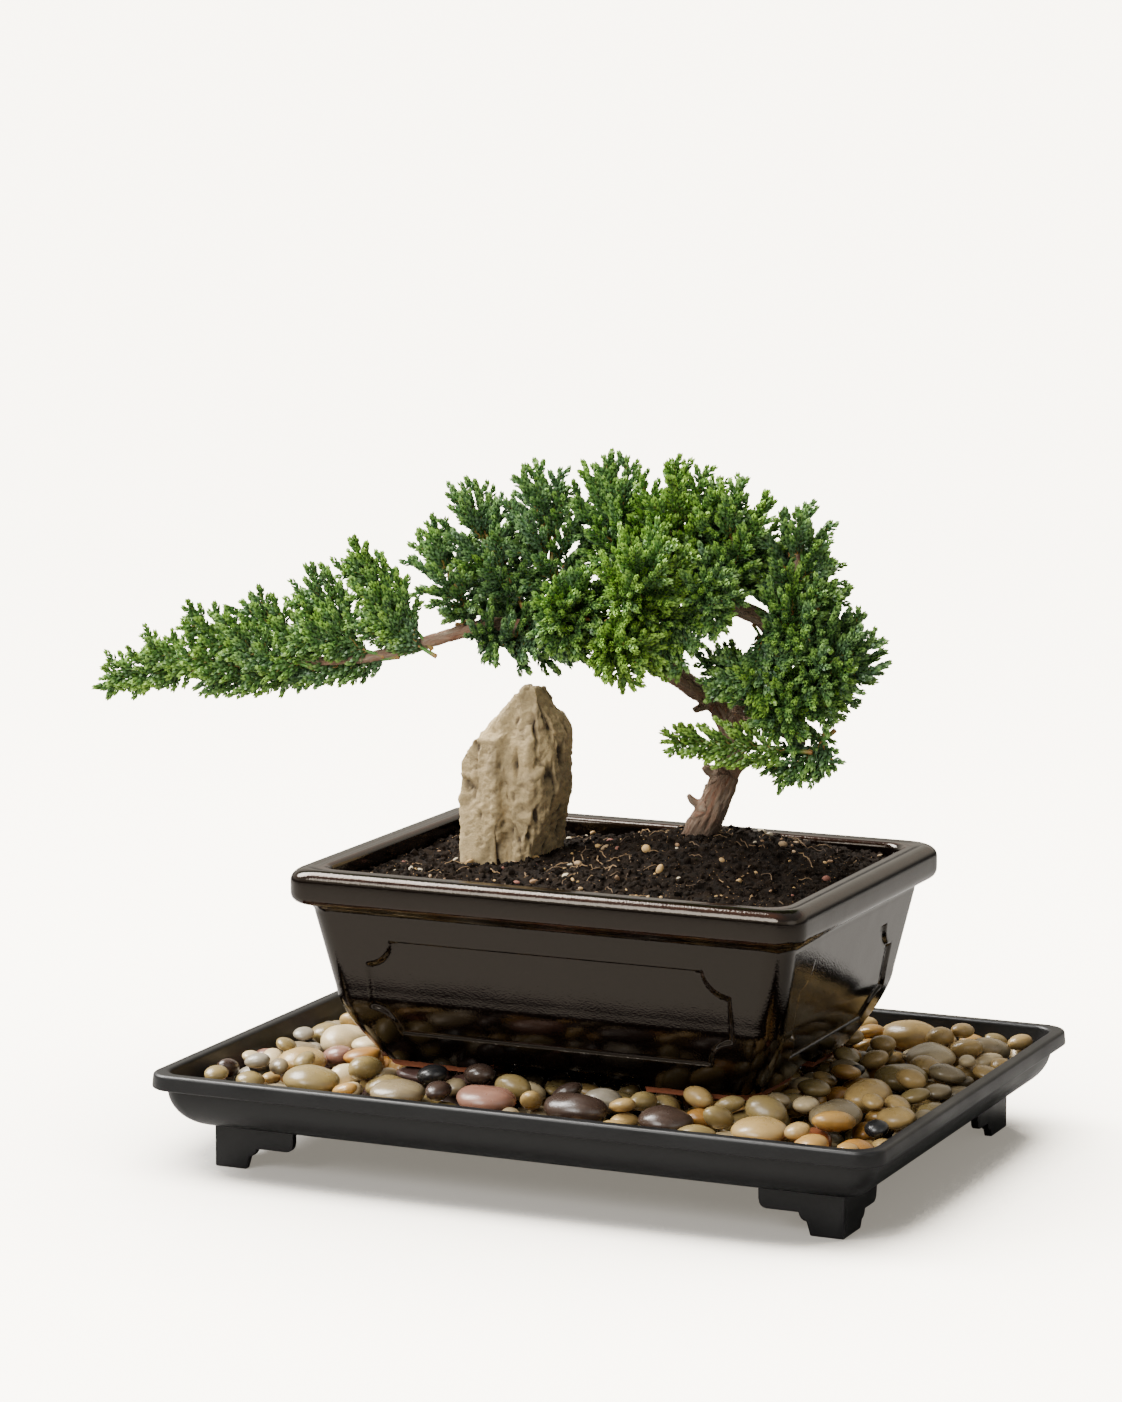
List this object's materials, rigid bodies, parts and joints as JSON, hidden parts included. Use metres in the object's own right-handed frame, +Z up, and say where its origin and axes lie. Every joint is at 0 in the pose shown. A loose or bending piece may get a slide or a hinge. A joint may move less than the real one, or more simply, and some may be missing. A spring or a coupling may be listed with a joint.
{
  "type": "bonsai tree in a pot",
  "caption": "Trained juniper with one long low limb and a dense crown, in a footed rectangular glazed pot with an upright stone, standing on pebbles in a footed humidity tray.",
  "frame": {"origin": "on the surface the tray stands on, at the centre of the object's bounding box in plan", "axes": "+Z up; +X along the tray's long side, away from the long low limb; -Y is the front"},
  "size_m": [0.351, 0.214, 0.2611],
  "materials": {
    "juniper_foliage": "satin",
    "bark": "matte",
    "soil": "matte",
    "standing_stone": "matte",
    "river_pebble": "satin",
    "glazed_pot": "gloss",
    "tray_plastic": "satin",
    "drain_mesh": "matte"
  },
  "bodies": {
    "root": {"drain_mesh_1": "drain_mesh", "drain_mesh_2": "drain_mesh", "foliage_back_1": "juniper_foliage", "foliage_back_2": "juniper_foliage", "foliage_back_3": "juniper_foliage", "foliage_back_4": "juniper_foliage", "foliage_crown_1": "juniper_foliage", "foliage_crown_2": "juniper_foliage", "foliage_crown_3": "juniper_foliage", "foliage_crown_4": "juniper_foliage", "foliage_front_1": "juniper_foliage", "foliage_front_2": "juniper_foliage", "foliage_front_3": "juniper_foliage", "foliage_limb_back": "juniper_foliage", "foliage_limb_fill": "juniper_foliage", "foliage_limb_rise_1": "juniper_foliage", "foliage_limb_rise_2": "juniper_foliage", "foliage_limb_rise_3": "juniper_foliage", "foliage_limb_rise_4": "juniper_foliage", "foliage_limb_side_1": "juniper_foliage", "foliage_limb_side_2": "juniper_foliage", "foliage_limb_side_3": "juniper_foliage", "foliage_limb_tip": "juniper_foliage", "foliage_limb_under": "juniper_foliage", "foliage_low_sprig": "juniper_foliage", "foliage_low_tuft": "juniper_foliage", "foliage_right_1": "juniper_foliage", "foliage_right_2": "juniper_foliage", "foliage_right_3": "juniper_foliage", "foliage_right_4": "juniper_foliage", "humidity_tray": "tray_plastic", "pebble_01": "river_pebble", "pebble_02": "river_pebble", "pebble_03": "river_pebble", "pebble_04": "river_pebble", "pebble_05": "river_pebble", "pebble_06": "river_pebble", "pebble_07": "river_pebble", "pebble_08": "river_pebble", "pebble_09": "river_pebble", "pebble_10": "river_pebble", "pebble_11": "river_pebble", "pebble_12": "river_pebble", "pebble_13": "river_pebble", "pebble_14": "river_pebble", "pebble_15": "river_pebble", "pebble_16": "river_pebble", "pebble_17": "river_pebble", "pebble_18": "river_pebble", "pebble_19": "river_pebble", "pebble_20": "river_pebble", "pebble_bed": "river_pebble", "pebble_under_foot_1": "river_pebble", "pebble_under_foot_2": "river_pebble", "pebble_under_foot_3": "river_pebble", "pebble_under_foot_4": "river_pebble", "pot": "glazed_pot", "soil": "soil", "stone": "standing_stone", "trunk_and_limbs": "bark"}
  },
  "joints": []
}
